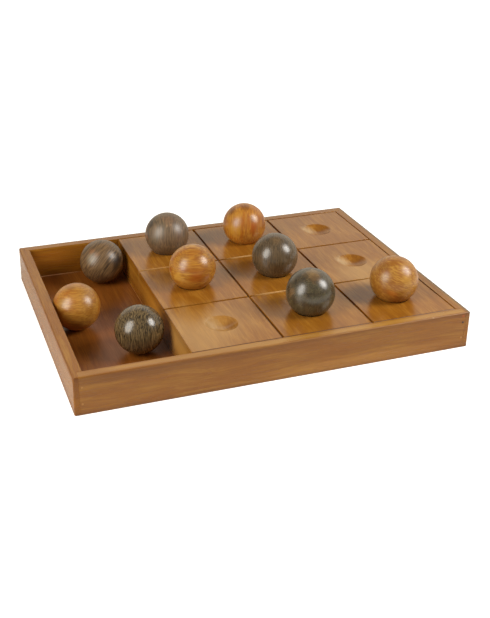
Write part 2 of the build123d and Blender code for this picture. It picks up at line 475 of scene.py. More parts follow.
def make_lacquer_group():
    """Roughness from a base value, the wood's dullness and slow clouds, and height from fine peel."""
    tree, given, result = start_group("lacquer", LACQUER_INPUTS, LACQUER_OUTPUTS)
    peel = noise(tree, stretched(tree, given["Vector"], *PEEL_SIZE), given["Seed"], detail=1.0)
    clouds = noise(tree, stretched(tree, given["Vector"], *CLOUD_SIZE), given["Seed"], detail=3.0)
    dull_wood = calc(tree, "MULTIPLY", given["Dullness"], WOOD_SHARE)
    both = calc(tree, "ADD", dull_wood, calc(tree, "MULTIPLY", clouds, CLOUD_SHARE))
    change = calc(tree, "MULTIPLY", calc(tree, "SUBTRACT", both, EVEN_SHARE), given["Variation"])
    roughness = calc(tree, "ADD", given["Roughness"], change, clamp=True)
    fill(tree, result, {"Roughness": roughness, "Height": peel})
    return tree


lacquer_group = make_lacquer_group()

# %% [markdown]
# Colours are read as a screen shows them, in parts of 255, and a shader wants linear ones. A kind of wood
# is a set of values for the wood group, and a mark is a blot with its place, its size and its colour.

# %% Colours, kinds of wood and marks
CURVE_START, CURVE_SLOPE, CURVE_OFFSET, CURVE_POWER = 0.04045, 12.92, 0.055, 2.4


def colour(red, green, blue):
    """A linear colour from sRGB parts of 255: over 0.04, it is ((part + 0.055) / 1.055) to the power 2.4."""
    parts = []
    for c in (red / 255, green / 255, blue / 255):
        curved = ((c + CURVE_OFFSET) / (1 + CURVE_OFFSET)) ** CURVE_POWER
        parts.append(c / CURVE_SLOPE if c <= CURVE_START else curved)
    return (*parts, 1)


def wood_kind(base, **changes):
    """A copy of base with changes: ring_spacing sets the group's input Ring Spacing, and so on."""
    kind = dict(base)
    for key, value in changes.items():
        name = key.replace("_", " ").title()
        kind[name] = colour(*value) if name.endswith("Colour") else value
    return kind


def mark(place, size, length, strength, shade, ragged=0.4):
    """A blot at a place from the piece's centre, size across and length along the grain, all in mm."""
    inputs = {"Place": Vector(place) * MM, "Size": size * MM, "Length": length * MM, "Ragged": ragged}
    return inputs, strength, colour(*shade)


def dark_edges(middle, half, reach, strength):
    """The darkened edges of a box: its middle and half its size in metres, and how far in they reach in mm.
    """
    return {"Middle": middle, "Half Size": half, "Reach": Vector(reach) * MM}, strength


# %% [markdown]
# Each piece of wood was cut from its own place in a tree. So each has its own grain direction, its own side
# towards the heart, and its own seed. A Mapping node of the Texture kind takes the piece's Object
# coordinates into the trunk's frame.

# %% Wood with a finish
LACQUER_IOR = 1.5
GRAIN_DEPTH, PEEL_DEPTH = 0.03 * MM, 0.02 * MM
EDGE_DARKENING = (0.55, 0.45, 0.32, 1)
EDGE_DULLNESS = 5.0
VARIATION = 0.12


def trunk_turn(grain, heart):
    """Euler angles of the frame whose Z is the grain and whose X is the part of heart square to it."""
    z = Vector(grain).normalized()
    x = Vector(heart)
    x = (x - z * x.dot(z)).normalized()
    return Matrix((x, z.cross(x), z)).transposed().to_euler()


def finished_wood(name, centre, grain, heart, seed, wood, marks=(), box=None, roughness=0.24, shine=0.5,
                  relief=1.0):
    """Solid wood under lacquer: wood is a kind of wood, marks are its blots, and box has its dark edges."""
    material, tree, shader = start_finish(name)
    place = add(tree, "TexCoord").outputs["Object"]
    turn = trunk_turn(grain, heart)
    to_trunk = turn.to_matrix().transposed()
    mapping = {"Vector": place, "Location": centre, "Rotation": turn}
    trunk = add(tree, "Mapping", mapping, vector_type="TEXTURE").outputs[0]
    solid = add(tree, "Group", dict(wood, Vector=trunk, Seed=seed), node_tree=wood_group)
    shown, dullness = solid.outputs["Color"], solid.outputs["Dullness"]
    for inputs, strength, shade in marks:
        inputs = dict(inputs, Vector=trunk, Place=to_trunk @ inputs["Place"])
        mask = add(tree, "Group", inputs, node_tree=blot_group).outputs[0]
        shown = blend(tree, calc(tree, "MULTIPLY", mask, strength), shown, shade)
    if box:
        inputs, strength = box
        edge = add(tree, "Group", dict(inputs, Vector=place), node_tree=edge_group).outputs[0]
        shown = blend(tree, calc(tree, "MULTIPLY", edge, strength), shown, EDGE_DARKENING, mode="MULTIPLY")
        dullness = calc(tree, "ADD", dullness, calc(tree, "MULTIPLY", edge, EDGE_DULLNESS))
    coat = {"Vector": trunk, "Dullness": dullness, "Seed": seed, "Roughness": roughness}
    finish = add(tree, "Group", dict(coat, Variation=VARIATION), node_tree=lacquer_group)
    grain_bump = add(tree, "Bump", {"Height": solid.outputs["Height"], "Distance": GRAIN_DEPTH * relief})
    peel = {"Height": finish.outputs["Height"], "Distance": PEEL_DEPTH * relief}
    bump = add(tree, "Bump", dict(peel, Normal=grain_bump.outputs[0])).outputs[0]
    fill(tree, shader, {"Base Color": shown, "Roughness": finish.outputs["Roughness"], "Normal": bump})
    fill(tree, shader, {"IOR": LACQUER_IOR, "Specular IOR Level": shine})
    return material


# %% [markdown]
# Every new piece is a mesh that numpy works out. Points that a shape repeats, at a pole or where two
# patches meet, are merged, and the faces are turned outwards. Weighted normals let the wide flat faces of
# the board and the rails keep their shading, so that only the small rounded edges bend the light. An edge
# stays sharp where its two faces turn by more than 40 degrees.

# %% Mesh helpers
MERGE = 0.0005 * MM
SHARP_ANGLE = math.radians(40)


def grid_faces(rows, columns, wrap=False):
    """Four-sided faces of a grid of points; with wrap, the last column joins the first."""
    r, c = np.meshgrid(np.arange(rows - 1), np.arange(columns if wrap else columns - 1), indexing="ij")
    right = (c + 1) % columns
    here, above = r * columns, (r + 1) * columns
    return np.stack([here + c, here + right, above + right, above + c], -1).reshape(-1, 4)


def cap(loop):
    """A loop of points and the one flat face over it."""
    return loop, np.arange(len(loop))[None, :]


def join(patches):
    """One list of points and one of faces from several patches, each with its own points and faces."""
    points, faces, start = [], [], 0
    for patch_points, patch_faces in patches:
        points.append(patch_points)
        faces += (start + patch_faces).tolist()
        start += len(patch_points)
    return np.concatenate(points), faces


def closed_mesh(name, points, faces, weighted=True):
    """An object made of points, in metres, and faces, with doubles merged and the faces turned outwards."""
    mesh = bpy.data.meshes.new(name)
    mesh.from_pydata(points, [], faces)
    work = bmesh.new()
    work.from_mesh(mesh)
    bmesh.ops.remove_doubles(work, verts=work.verts, dist=MERGE)
    bmesh.ops.recalc_face_normals(work, faces=work.faces)
    open_edges = sum(len(edge.link_faces) != 2 for edge in work.edges)
    work.to_mesh(mesh)
    work.free()
    mesh.polygons.foreach_set("use_smooth", np.ones(len(mesh.polygons), dtype=bool))
    mesh.set_sharp_from_angle(angle=SHARP_ANGLE)
    piece = put(name, mesh)
    if weighted:
        piece.modifiers.new("weighted normals", "WEIGHTED_NORMAL").keep_sharp = True
    print(name, len(mesh.vertices), "points,", open_edges, "open edges")
    return piece


def place_piece(piece, node, body, material):
    """The piece stands for the node, moves with the body and has the finish of the slot."""
    piece.data.materials.append(material)
    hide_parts(node)
    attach(piece, body)


# %% [markdown]
# A turned ball is a closed surface of turn and tilt. It isn't a perfect sphere: turning and sanding leave
# it some hundredths of a millimetre uneven, which shows in the shapes of its highlights.

# %% Ball surface
BALL_RINGS, BALL_SPOKES = 72, 144
UNEVEN = 0.05 * MM
WAVES = ((3.1, 1), (4.3, -1), (3.7, 2))  # how fast each runs along x, y and z, and its share of the phase


def ball_points(centre, radius, phase):
    """Centre plus radius times (sin t cos u, sin t sin u, cos t), the radius uneven by three slow waves."""
    tilts = np.linspace(0, np.pi, BALL_RINGS)
    turns = np.arange(BALL_SPOKES) * 2 * np.pi / BALL_SPOKES
    t, u = np.meshgrid(tilts, turns, indexing="ij")
    out = np.stack([np.sin(t) * np.cos(u), np.sin(t) * np.sin(u), np.cos(t)], -1)
    waves = sum(np.sin(rate * out[..., i] + share * phase) for i, (rate, share) in enumerate(WAVES))
    size = radius + UNEVEN * waves / len(WAVES)
    return (np.array(centre) + out * size[..., None]).reshape(-1, 3)


def node_middle(name):
    """The middle of a node's box, and half its width."""
    low, high = (np.array(v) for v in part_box(name))
    return (low + high) / 2, (high[0] - low[0]) / 2


# %% [markdown]
# The dark balls are stained nearly black-brown over a coarse, stringy wood, so the fibres stand out lighter
# than the ground. The light balls are a honey-coloured wood with soft rings. In the photograph each shows
# another side: streaks that run up, streaks that run across, or the end of the grain.

# %% Balls
BALL_RELIEF = 0.07
UP = Vector((0, 0, 1))
PICTURE_UP = direction(160, 65)
PICTURE_RIGHT = direction(70, 0)
TO_CAMERA = direction(-20, 25)

DARK = wood_kind({}, ring_spacing=0.0026, ring_strength=0.25, fibre_width=0.0008, fibre_length=0.02,
                 layer=6.0, fibre_strength=0.6, streak_width=0.002, streak_strength=0.5, pore_strength=0.25,
                 ripple=2.0, blush_strength=0.6, blush_size=0.01, wander=0.004, ground_colour=(58, 49, 34),
                 ring_colour=(40, 32, 20), fibre_colour=(124, 98, 66), streak_colour=(44, 36, 24),
                 pore_colour=(26, 20, 12), blush_colour=(80, 66, 46))
LIGHT = wood_kind({}, ring_spacing=0.0026, ring_strength=0.35, fibre_width=0.001, fibre_length=0.014,
                  layer=6.0, fibre_strength=0.75, streak_width=0.003, streak_strength=0.6, pore_strength=0.45,
                  ripple=1.5, blush_strength=0.75, blush_size=0.007, wander=0.006,
                  ground_colour=(182, 125, 43), ring_colour=(130, 72, 16), fibre_colour=(140, 78, 16),
                  streak_colour=(198, 146, 64), pore_colour=(100, 54, 14), blush_colour=(160, 90, 20))


def on_ball(right, up):
    """A direction from a ball's middle to the place right and up of it in the picture, in ball radii."""
    toward = math.sqrt(max(0.0, 1 - right**2 - up**2))
    return PICTURE_RIGHT * right + PICTURE_UP * up + TO_CAMERA * toward


ORANGE, REDDISH, GOLDEN = (190, 100, 30), (160, 76, 14), (206, 156, 66)
BALLS = {
    "dark_ball_back_left": {
        "wood": wood_kind(DARK, ground_colour=(98, 81, 56), fibre_colour=(150, 118, 82),
                          blush_colour=(104, 80, 58), fibre_width=0.0006, layer=4.0, fibre_strength=0.5,
                          streak_strength=0.35),
        "grain": PICTURE_UP, "heart": PICTURE_RIGHT, "seed": 1.0, "roughness": 0.43, "shine": 0.9,
        "marks": [(-0.9, -0.1, 3, 5, 0.3, ORANGE), (0.1, 0.6, 7, 9, 0.22, (156, 110, 76)),
                  (0.05, 0.35, 0.7, 6, 0.5, (186, 150, 110)), (0.22, 0.4, 0.6, 5, 0.5, (180, 140, 98)),
                  (-0.15, 0.3, 0.6, 5, 0.6, (70, 50, 30)), (0.6, -0.1, 5, 8, 0.3, (130, 92, 66)),
                  (-0.5, -0.3, 6, 7, 0.35, (112, 100, 78)), (-0.1, -0.85, 9, 9, 0.5, (66, 46, 26)),
                  # On the next line, both marks are painted shade that darkens the left rim.
                  (-0.72, 0.45, 5, 9, 0.75, (50, 40, 32)), (-0.85, 0.0, 4, 9, 0.6, (66, 48, 32))]},
    "light_ball_back_middle": {
        "wood": wood_kind(LIGHT, ground_colour=(192, 128, 38), blush_colour=(170, 94, 18),
                          fibre_colour=(150, 82, 18), layer=3.0, fibre_width=0.0008),
        "grain": PICTURE_UP, "heart": PICTURE_RIGHT, "seed": 2.0, "roughness": 0.32, "shine": 0.65,
        "marks": [(0.4, -0.2, 6, 9, 0.75, REDDISH), (-0.45, -0.35, 9, 9, 0.6, (200, 146, 44)),
                  # On the next line, both marks are painted shade where the two highlights fall.
                  (0.35, 0.22, 4, 5, 0.5, (130, 84, 30)), (-0.35, 0.1, 5, 6, 0.35, (150, 102, 40)),
                  (-0.3, 0.45, 7, 8, 0.5, (196, 138, 46)), (-0.62, 0.6, 6, 8, 0.65, (106, 64, 22)),
                  (0.0, 0.8, 7, 7, 0.6, (110, 64, 18)), (0.9, 0.1, 4, 10, 0.6, (120, 62, 14)),
                  (-0.9, 0.2, 4, 9, 0.5, (130, 78, 20))]},
    "dark_ball_well_back": {
        "wood": wood_kind(DARK, ground_colour=(88, 66, 40), fibre_colour=(146, 114, 76),
                          blush_colour=(110, 80, 48)),
        "grain": PICTURE_RIGHT * 0.55 + PICTURE_UP * 0.75, "heart": PICTURE_RIGHT * 0.75 - PICTURE_UP * 0.55,
        "seed": 3.0, "roughness": 0.38, "shine": 0.7,
        "marks": [(-0.35, 0.45, 4, 4, 0.3, (160, 96, 44)), (-0.1, 0.3, 3, 4, 0.3, (150, 100, 54)),
                  # On the next line, the mark at (0.82, 0.0) is painted shade: a near-black right rim where
                  # the ball meets the divider.
                  (0.35, -0.2, 1.6, 8, 0.8, (32, 20, 10)), (0.82, 0.0, 7, 13, 0.95, (20, 12, 5)),
                  # On the next line, (-0.4, 0.1) is painted sheen on the left side, and (0.1, -0.85) is
                  # painted shade at the bottom.
                  (-0.4, 0.1, 6, 7, 0.35, (134, 122, 88)), (0.1, -0.85, 8, 10, 0.5, (60, 42, 24))]},
    "light_ball_centre_left": {
        "wood": wood_kind(LIGHT, ground_colour=(188, 132, 46), fibre_width=0.0006, layer=4.0,
                          fibre_strength=0.8, fibre_length=0.012, wander=0.004),
        "grain": PICTURE_RIGHT, "heart": UP, "seed": 4.0, "roughness": 0.29, "shine": 0.6,
        # On the next line, the mark at (-0.4, 0.25) is painted shade where the left highlight falls.
        "marks": [(0.2, -0.5, 7, 9, 0.6, REDDISH), (-0.4, 0.25, 8, 9, 0.4, (150, 102, 36)),
                  (-0.6, -0.45, 6, 8, 0.6, GOLDEN), (0.75, 0.45, 5, 8, 0.5, (120, 80, 38)),
                  (0.2, 0.35, 4, 4, 0.6, (140, 80, 20)), (-0.92, -0.1, 3, 5, 0.6, (150, 60, 10)),
                  (0.0, -0.9, 5, 12, 0.5, (150, 96, 20))]},
    "dark_ball_centre": {
        "wood": wood_kind(DARK, fibre_strength=0.4, fibre_length=0.009, layer=3.0, streak_strength=0.3,
                          ground_colour=(82, 67, 46), blush_colour=(94, 78, 56)),
        "grain": PICTURE_UP, "heart": PICTURE_RIGHT, "seed": 5.0, "roughness": 0.28, "shine": 0.75,
        "marks": [(0.0, 0.7, 6, 8, 0.3, (130, 98, 60)), (0.1, -0.6, 8, 8, 0.5, (70, 48, 26))]},
    "light_ball_well_middle": {
        "wood": wood_kind(LIGHT, ground_colour=(180, 127, 50), fibre_strength=0.55, heart=0.03, layer=2.0,
                          fibre_width=0.0007, fibre_length=0.006),
        "grain": PICTURE_RIGHT, "heart": UP, "seed": 6.0, "roughness": 0.31, "shine": 0.65,
        "marks": [(0.5, 0.5, 7, 9, 0.3, (150, 104, 44)), (-0.2, 0.8, 5, 9, 0.4, (130, 92, 44)),
                  # On the next line, (-0.45, 0.15) is painted shade where the left highlight falls, and (0.1,
                  # -0.8) a painted shadow of the left rail at the bottom.
                  (-0.45, 0.15, 7, 8, 0.5, (158, 120, 54)), (0.1, -0.8, 7, 9, 0.5, (120, 70, 20))]},
    "dark_ball_well_front": {
        "wood": wood_kind(DARK, ground_colour=(46, 38, 25), ring_colour=(32, 26, 16),
                          fibre_colour=(146, 120, 80), blush_colour=(66, 51, 32), fibre_width=0.00038,
                          fibre_length=0.014, fibre_strength=0.65, streak_width=0.0012, wander=0.012),
        "grain": direction(-20, 80), "heart": PICTURE_RIGHT, "seed": 7.0, "roughness": 0.22, "shine": 0.65,
        "marks": []},
    "dark_ball_front_middle": {
        "wood": wood_kind(DARK, ground_colour=(78, 72, 50), fibre_strength=0.2, ring_spacing=0.0048,
                          ring_colour=(44, 38, 28), ring_strength=0.85, heart=0.0, fibre_length=0.01,
                          wander=0.006, layer=1.0, ripple=0.9),
        "grain": direction(-20, 58), "heart": UP, "seed": 8.0, "roughness": 0.28, "shine": 0.8,
        "marks": [(0.1, 0.6, 7, 7, 0.6, (112, 82, 46)), (0.0, 0.82, 8, 4, 0.6, (150, 118, 76)),
                  (-0.8, 0.0, 4, 8, 0.6, (126, 96, 60))]},
    "light_ball_front_right": {
        "wood": wood_kind(LIGHT, wander=0.01, ground_colour=(174, 124, 49), heart=0.04,
                          blush_colour=(150, 92, 26), layer=2.0, fibre_width=0.0008, fibre_length=0.005,
                          fibre_strength=0.7),
        "grain": PICTURE_RIGHT - UP * 0.4, "heart": UP, "seed": 9.0, "roughness": 0.33, "shine": 0.6,
        "marks": [(-0.2, -0.6, 4, 7, 0.4, ORANGE), (0.4, 0.0, 6, 7, 0.3, GOLDEN),
                  (-0.5, 0.5, 5, 8, 0.4, (130, 84, 34)), (0.0, -0.85, 8, 12, 0.6, (122, 66, 16)),
                  (-0.5, 0.0, 6, 6, 0.4, (150, 108, 44)), (-0.45, -0.5, 5, 6, 0.3, (130, 72, 16))]},
}


def make_ball(name, wood, grain, heart, seed, roughness, shine, marks):
    """A ball in its node's place, turned from its own piece of wood, with marks as the picture shows them."""
    middle, radius = node_middle(name)
    points = ball_points(middle, radius - UNEVEN, seed)
    faces = grid_faces(BALL_RINGS, BALL_SPOKES, wrap=True)
    ball = closed_mesh(name + "_turned", points, faces, weighted=False)
    blots = [mark(on_ball(right, up) * (radius / MM), *rest) for right, up, *rest in marks]
    material = finished_wood(name + " wood", tuple(middle), grain, heart, seed, wood, blots,
                             roughness=roughness, shine=shine, relief=BALL_RELIEF)
    place_piece(ball, name, name, material)


for ball_name, ball in BALLS.items():
    make_ball(ball_name, **ball)

# %% [markdown]
# The playing board is one thick block. Its top is worked out in two ways that share their border points.
# The strips along the grooves and the outer edges are a net of straight lines, whose height is the lower of
# a profile across x and the same profile across y, so that crossing grooves cut through each other. The
# field inside each square is a set of loops that turn from a square into a circle, go over the rim and run
# down the dimple.

# %% Playing board
GROOVE_MIDDLE = 36 * MM
GROOVE_PROFILE = ((1.2, 0.0), (1.1, 0.02), (1.02, 0.06), (0.96, 0.14), (0.92, 0.28), (0.9, 0.5), (0.9, 1.8),
                  (0.82, 1.95), (0.6, 2.0), (0.0, 2.0))
EDGE_RADIUS, EDGE_STEPS = 0.6 * MM, 5
FIELD_MARGIN = 0.5 * MM
FIELD_CELLS = 28
DIMPLE_RADIUS, DIMPLE_DEPTH, RIM_RADIUS = 19.05 * MM, 4.5 * MM, 0.55 * MM
RIM_STEPS, DIMPLE_STEPS = 6, 16
FIELD_BLENDS = (0.0, 0.2, 0.4, 0.6, 0.75, 0.87, 0.95, 0.985)


def net_lines(half):
    """Places of the net's lines from -half to half, the depth at each, and the fields' first lines."""
    angles = np.linspace(0, np.pi / 2, EDGE_STEPS)
    edge_in = EDGE_RADIUS * (1 - np.cos(angles))
    edge_deep = EDGE_RADIUS * (1 - np.sin(angles))
    groove = np.array(GROOVE_PROFILE) * MM
    down, deep = groove[:, 0], groove[:, 1]
    offsets = np.concatenate([-down, down[::-1][1:]])
    depths = np.concatenate([deep, deep[::-1][1:]])
    inner = GROOVE_MIDDLE - groove[0, 0] - FIELD_MARGIN
    outer_start, outer_end = half - EDGE_RADIUS - FIELD_MARGIN, GROOVE_MIDDLE + groove[0, 0] + FIELD_MARGIN
    flat = np.zeros(FIELD_CELLS + 1)
    left = np.linspace(-outer_start, -outer_end, FIELD_CELLS + 1)
    middle = np.linspace(-inner, inner, FIELD_CELLS + 1)
    places = [edge_in - half, left, offsets - GROOVE_MIDDLE, middle, offsets + GROOVE_MIDDLE, -left[::-1],
              half - edge_in[::-1]]
    deeps = [edge_deep, flat, depths, flat, depths, flat, edge_deep[::-1]]
    starts = np.cumsum([0] + [len(part) for part in places])
    return np.concatenate(places), np.concatenate(deeps), [starts[1], starts[3], starts[5]]


def border(grid):
    """The entries round the outside of a grid, in one loop."""
    return np.concatenate([grid[:-1, 0], grid[-1, :-1], grid[:0:-1, -1], grid[0, :0:-1]])


def field_patch(xs, ys, top):
    """Loops from the square border of xs and ys, through a circle and over a rim, to the dimple's foot."""
    square = border(np.stack(np.meshgrid(xs, ys, indexing="ij"), -1))
    centre = np.array([(xs[0] + xs[-1]) / 2, (ys[0] + ys[-1]) / 2])
    ray = square - centre
    ray /= np.linalg.norm(ray, axis=1, keepdims=True)
    sphere_height = DIMPLE_RADIUS - DIMPLE_DEPTH
    reach = DIMPLE_RADIUS + RIM_RADIUS
    rim_centre = math.sqrt(reach**2 - (sphere_height + RIM_RADIUS) ** 2)
    slope = math.atan2(rim_centre, sphere_height + RIM_RADIUS)
    blends = np.array(FIELD_BLENDS)[:, None, None]
    flat = square * (1 - blends) + (centre + ray * rim_centre) * blends
    flat = np.concatenate([flat, np.full(flat.shape[:2] + (1,), top)], -1)
    rim_angle = np.linspace(0, slope, RIM_STEPS)
    arc_angle = np.linspace(slope, 0, DIMPLE_STEPS)[1:]
    away = np.concatenate([rim_centre - RIM_RADIUS * np.sin(rim_angle), DIMPLE_RADIUS * np.sin(arc_angle)])
    over_rim = RIM_RADIUS * (np.cos(rim_angle) - 1)
    height = np.concatenate([over_rim, sphere_height - DIMPLE_RADIUS * np.cos(arc_angle)])
    around = centre + ray[None] * away[:, None, None]
    level = np.broadcast_to(top + height[:, None, None], around.shape[:2] + (1,))
    around = np.concatenate([around, level], -1)
    loops = np.concatenate([flat, around])
    return loops.reshape(-1, 3), grid_faces(len(loops), len(square), wrap=True)


def make_board():
    """The net, nine fields, the four sides and the underside of the board."""
    low, high = (np.array(v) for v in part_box("playing_board"))
    middle, half, top = (low + high) / 2, (high[0] - low[0]) / 2, high[2]
    places, deeps, starts = net_lines(half)
    count = len(places)
    x, y = np.meshgrid(middle[0] + places, middle[1] + places, indexing="ij")
    z = top - np.maximum(deeps[:, None], deeps[None, :])
    net = np.stack([x, y, z], -1)
    in_field = np.zeros(count - 1, dtype=bool)
    for start in starts:
        in_field[start : start + FIELD_CELLS] = True
    keep = ~(in_field[:, None] & in_field[None, :]).reshape(-1)
    patches = [(net.reshape(-1, 3), grid_faces(count, count)[keep])]
    for i in starts:
        for j in starts:
            xs = middle[0] + places[i : i + FIELD_CELLS + 1]
            ys = middle[1] + places[j : j + FIELD_CELLS + 1]
            patches.append(field_patch(xs, ys, top))
    upper = border(net)
    lower = upper.copy()
    lower[:, 2] = low[2]
    patches += [(np.concatenate([upper, lower]), grid_faces(2, len(upper), wrap=True)), cap(lower)]
    return closed_mesh("board_block", *join(patches))


# %% [markdown]
# The rails and the board are the same honey-coloured wood, and the grain runs along each rail and from the
# front of the board to its back. What the photograph shows on the board is placed one by one: a wall of the
# well painted paler, which is painted light, that darkens towards the back and has a painted highlight at its
# foot, two patches of painted sheen on top, a dark seam along the front, and in each empty dimple a painted
# highlight on the left and painted shade on the right. The far lips of the grooves have painted highlights.

# %% Wood of the rails and of the board
RAIL = wood_kind({}, ring_spacing=0.009, ring_strength=0.55, fibre_width=0.0008, fibre_length=0.03,
                 fibre_strength=0.7, streak_width=0.0028, streak_strength=0.85, pore_strength=0.35,
                 blush_strength=0.7, blush_size=0.02, wander=0.01, ground_colour=(163, 111, 36),
                 ring_colour=(132, 80, 20), fibre_colour=(134, 80, 20), streak_colour=(142, 86, 22),
                 pore_colour=(90, 48, 10), blush_colour=(150, 92, 20))
BOARD = wood_kind(RAIL, fibre_length=0.016, ground_colour=(172, 116, 40), streak_colour=(138, 82, 20),
                  streak_strength=0.6, fibre_strength=0.45, blush_size=0.012, blush_strength=0.6)
X, Y = Vector((1, 0, 0)), Vector((0, 1, 0))
BOARD_MIDDLE = Vector((39, 0, 16.45)) * MM
BOARD_BOX = dark_edges(BOARD_MIDDLE, Vector((105.6, 105.6, 13.25)) * MM, (0.8, 0.8, 1.2), 0.9)
PAINTED_SHEEN, PAINTED_DIMPLE_HIGHLIGHT, PAINTED_DIMPLE_SHADE, PAINTED_LIP_HIGHLIGHT = (204, 162, 96), (218, 186, 136), (124, 74, 20), (250, 206, 140)
PAINTED_LIGHT_WALL, WALL_BACK, PAINTED_FOOT_HIGHLIGHT, SEAM = (212, 148, 52), (112, 58, 14), (226, 160, 96), (70, 38, 10)
# Each empty square: its middle, and the strengths of the painted highlight and the painted shade in its
# dimple.
EMPTY_SQUARES = ((-70.8, -70.8, 0.26, 0.65), (70.8, 0, 0.5, 0.6), (70.8, 70.8, 0.45, 0.55))
PAINTED_LIP_HIGHLIGHTS = ((-14, 36.95, 18, 0.5), (-14, -35.05, 22, 0.5), (-95, 36.95, 34, 0.25))
board_marks = [
    # Painted light: the wall of the well is painted paler than the board.
    mark((-105.6, 0, 0), 11, 400, 0.4, PAINTED_LIGHT_WALL, ragged=0.2),
    mark((-105.6, 48, -3), 12, 42, 0.45, WALL_BACK),
    # Painted sheen: two pale patches on top stand for the lacquer's reflection of the white backdrop.
    mark((-92, -76, 14), 52, 56, 0.34, PAINTED_SHEEN, ragged=0.3),
    mark((66, -22, 14), 30, 34, 0.35, PAINTED_SHEEN, ragged=0.3),
    # Painted highlight: a light line along the foot of the well's wall.
    mark((-105.6, 30, -12.7), 0.7, 60, 0.7, PAINTED_FOOT_HIGHLIGHT, ragged=0.1),
    mark((-30, -105.6, 13), 300, 1.2, 0.9, SEAM, ragged=0.1),
]
# Painted highlight on the left side of each empty dimple.
board_marks += [mark((x - 7, y + 4.5, 10.5), 9, 10, dimple_highlight, PAINTED_DIMPLE_HIGHLIGHT) for x, y, dimple_highlight, _ in EMPTY_SQUARES]
# Painted shade on the right side of each empty dimple.
board_marks += [mark((x + 6.5, y, 10), 7, 9, dimple_shade, PAINTED_DIMPLE_SHADE) for x, y, _, dimple_shade in EMPTY_SQUARES]
# Painted highlights on the far lips of the grooves.
board_marks += [mark((x, y, 12.9), reach, 0.7, lip_highlight, PAINTED_LIP_HIGHLIGHT, ragged=0.1) for x, y, reach, lip_highlight in PAINTED_LIP_HIGHLIGHTS]
board_wood = finished_wood("board wood", BOARD_MIDDLE, Y, UP, 15.0, BOARD, board_marks, box=BOARD_BOX,
                           roughness=0.2)
place_piece(make_board(), "playing_board", "tray", board_wood)

# %% [markdown]
# A rail is a stack of rings of one outline seen from above. Each point of the outline knows how far it
# draws in, and over what height, where the top or the foot is rounded: much on the outside of the tray,
# hardly at all on the inside and at the joints. Below the floor's height the inside steps out, which makes
# the rabbet that the floor panel lies in.

# %% Rails
OUTER_ROUND, INNER_ROUND, JOINT_ROUND = 1.0 * MM, 0.35 * MM, 0.12 * MM
CORNER_ROUND, CORNER_STEPS = 1.2 * MM, 7
TONGUE, THICKNESS, RABBET, RABBET_HEIGHT = 4 * MM, 8 * MM, 4 * MM, 3.2 * MM
ROUND_STEPS = 7
PAST_ROUND = 1.1  # where the point after a rounding lies, in radii


def long_rail_outline(length, width):
    """The front rail from above: rows of x, y, inset x, inset y, rounding's height, rabbet x, rabbet y."""
    end, out, j, o, i = length / 2 - TONGUE, -width / 2, JOINT_ROUND, OUTER_ROUND, INNER_ROUND
    inside = out + THICKNESS
    half = [
        (end - j, out, 0, o, o, 0, 0),
        (end, out + j, -j, o, o, 0, 0),
        (end, out + PAST_ROUND * o, -j, 0, j, 0, 0),
        (end, inside - RABBET, -j, 0, j, 0, 0),
        (end, inside - PAST_ROUND * i, -j, 0, j, 0, PAST_ROUND * i - RABBET),
        (end, inside - j, -j, j - i, i, 0, j - RABBET),
        (end - j, inside, 0, -i, i, 0, -RABBET),
    ]
    other = [(-x, y, -ix, iy, r, -fx, fy) for x, y, ix, iy, r, fx, fy in reversed(half)]
    return np.array(half + other)


def side_rail_outline(length, width):
    """The right rail from above, with a tongue at each end that reaches past the long rail's end."""
    out, end, j, o, i = length / 2, width / 2, JOINT_ROUND, OUTER_ROUND, INNER_ROUND
    inside, seam, shoulder = out - THICKNESS, out - TONGUE, end - THICKNESS
    turn = np.linspace(0, np.pi / 2, CORNER_STEPS)
    half = [(out - CORNER_ROUND * (1 - math.cos(a)), end - CORNER_ROUND * (1 - math.sin(a)),
             -o * math.cos(a), -o * math.sin(a), o, 0, 0) for a in turn]
    half += [
        (seam + j, end, 0, -o, o, 0, 0),
        (seam, end - j, j, -o, o, 0, 0),
        (seam, end - PAST_ROUND * o, j, 0, j, 0, 0),
        (seam, shoulder, j, -j, j, 0, 0),
        (inside + PAST_ROUND * i, shoulder, 0, -j, j, RABBET - PAST_ROUND * i, 0),
        (inside + j, shoulder, i - j, -j, i, RABBET - j, 0),
        (inside, shoulder - j, i, 0, i, RABBET, 0),
    ]
    other = [(x, -y, ix, -iy, r, fx, -fy) for x, y, ix, iy, r, fx, fy in reversed(half)]
    return np.array(half + other)


def make_rail(name, outline, height, mirror):
    """Rings of the outline: rounded foot, rabbet, straight side and rounded top, closed by two flat caps."""
    x, y, inset_x, inset_y, r, foot_x, foot_y = outline.T
    rounding = [(1 - math.cos(a), r * (1 - math.sin(a))) for a in np.linspace(np.pi / 2, 0, ROUND_STEPS)]
    level = np.full(len(x), RABBET_HEIGHT)
    rings = [(x + inset_x * draw + foot_x, y + inset_y * draw + foot_y, rise) for draw, rise in rounding]
    rings += [(x + foot_x, y + foot_y, level), (x, y, level)]
    rings += [(x + inset_x * draw, y + inset_y * draw, height - rise) for draw, rise in reversed(rounding)]
    points = np.array(rings).transpose(0, 2, 1) * (*mirror, 1)
    walls = points.reshape(-1, 3), grid_faces(len(rings), len(x), wrap=True)
    return closed_mesh(name, *join([walls, cap(points[0]), cap(points[-1])]))


# %% [markdown]
# The long rails share one outline and the side rails another, each turned over for its opposite. The marks
# are streaks and clouds that the photograph shows, such as the brown streak along the front rail and the
# darkened outer edges at the right and at the back. Two are painted light: a paler line along the top of
# the front rail, and a painted highlight on the back rail where the floor meets it in the well.

